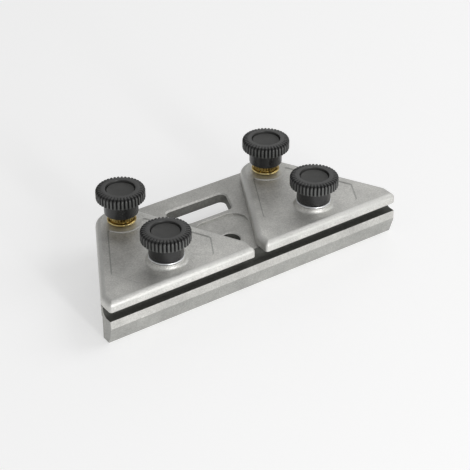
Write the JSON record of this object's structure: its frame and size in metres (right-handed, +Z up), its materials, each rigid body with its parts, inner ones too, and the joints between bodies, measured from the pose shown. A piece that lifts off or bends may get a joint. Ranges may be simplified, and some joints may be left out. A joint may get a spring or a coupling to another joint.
{
  "type": "blade clamping jig",
  "caption": "Cast bar with a blade slot along one edge, under triangular clamp plates held by knurled screws.",
  "frame": {"origin": "under the middle of the base casting, on the plane that its lip and rear feet stand on", "axes": "+X along the blade slot, -Y towards the slot's open side, +Z up along the screws"},
  "size_m": [0.1724, 0.072, 0.0437],
  "materials": {
    "cast_aluminium": "bead-blasted casting, satin",
    "black_plastic": "moulded, satin",
    "cap_plastic": "fine-textured, matt",
    "steel": "zinc-plated, bright",
    "brass": "turned, bright"
  },
  "bodies": {
    "base": {"base_casting": "cast_aluminium", "left_front_insert": "steel", "left_rear_insert": "steel", "right_front_insert": "steel", "right_rear_insert": "steel"},
    "left_plate": {"left_clamp_plate": "cast_aluminium"},
    "left_front_seat": {"left_front_washer": "steel"},
    "left_front_screw": {"left_front_knob": "black_plastic", "left_front_knob_cap": "cap_plastic", "left_front_stud": "steel"},
    "left_rear_seat": {"left_rear_collar": "brass"},
    "left_rear_screw": {"left_rear_knob": "black_plastic", "left_rear_knob_cap": "cap_plastic", "left_rear_stud": "steel"},
    "right_plate": {"right_clamp_plate": "cast_aluminium"},
    "right_front_seat": {"right_front_washer": "steel"},
    "right_front_screw": {"right_front_knob": "black_plastic", "right_front_knob_cap": "cap_plastic", "right_front_stud": "steel"},
    "right_rear_seat": {"right_rear_collar": "brass"},
    "right_rear_screw": {"right_rear_knob": "black_plastic", "right_rear_knob_cap": "cap_plastic", "right_rear_stud": "steel"}
  },
  "joints": [
    {"name": "left_plate_lift", "type": "slide", "parent": "base", "child": "left_plate", "axis": [0, 0, 1], "range_m": [0, 0.004]},
    {"name": "left_front_rise", "type": "slide", "parent": "left_plate", "child": "left_front_seat", "axis": [0, 0, 1], "range_m": [0, 0.0045]},
    {"name": "left_front_turn", "type": "hinge", "parent": "left_front_seat", "child": "left_front_screw", "pos_m": [-0.04476, -0.0195, 0.03], "axis": [0, 0, 1], "range_deg": [0, 1440]},
    {"name": "left_rear_rise", "type": "slide", "parent": "left_plate", "child": "left_rear_seat", "axis": [0, 0, 1], "range_m": [0, 0.0045]},
    {"name": "left_rear_turn", "type": "hinge", "parent": "left_rear_seat", "child": "left_rear_screw", "pos_m": [-0.04476, 0.0225, 0.03], "axis": [0, 0, 1], "range_deg": [0, 1440]},
    {"name": "right_plate_lift", "type": "slide", "parent": "base", "child": "right_plate", "axis": [0, 0, 1], "range_m": [0, 0.004]},
    {"name": "right_front_rise", "type": "slide", "parent": "right_plate", "child": "right_front_seat", "axis": [0, 0, 1], "range_m": [0, 0.0045]},
    {"name": "right_front_turn", "type": "hinge", "parent": "right_front_seat", "child": "right_front_screw", "pos_m": [0.04476, -0.0195, 0.03], "axis": [0, 0, 1], "range_deg": [0, 1440]},
    {"name": "right_rear_rise", "type": "slide", "parent": "right_plate", "child": "right_rear_seat", "axis": [0, 0, 1], "range_m": [0, 0.0045]},
    {"name": "right_rear_turn", "type": "hinge", "parent": "right_rear_seat", "child": "right_rear_screw", "pos_m": [0.04476, 0.0225, 0.03], "axis": [0, 0, 1], "range_deg": [0, 1440]}
  ],
  "couplings": [
    {"joint": "left_front_rise", "follows": "left_front_turn", "m_per_rad": 0.00015915},
    {"joint": "left_rear_rise", "follows": "left_rear_turn", "m_per_rad": 0.00015915},
    {"joint": "right_front_rise", "follows": "right_front_turn", "m_per_rad": 0.00015915},
    {"joint": "right_rear_rise", "follows": "right_rear_turn", "m_per_rad": 0.00015915}
  ]
}
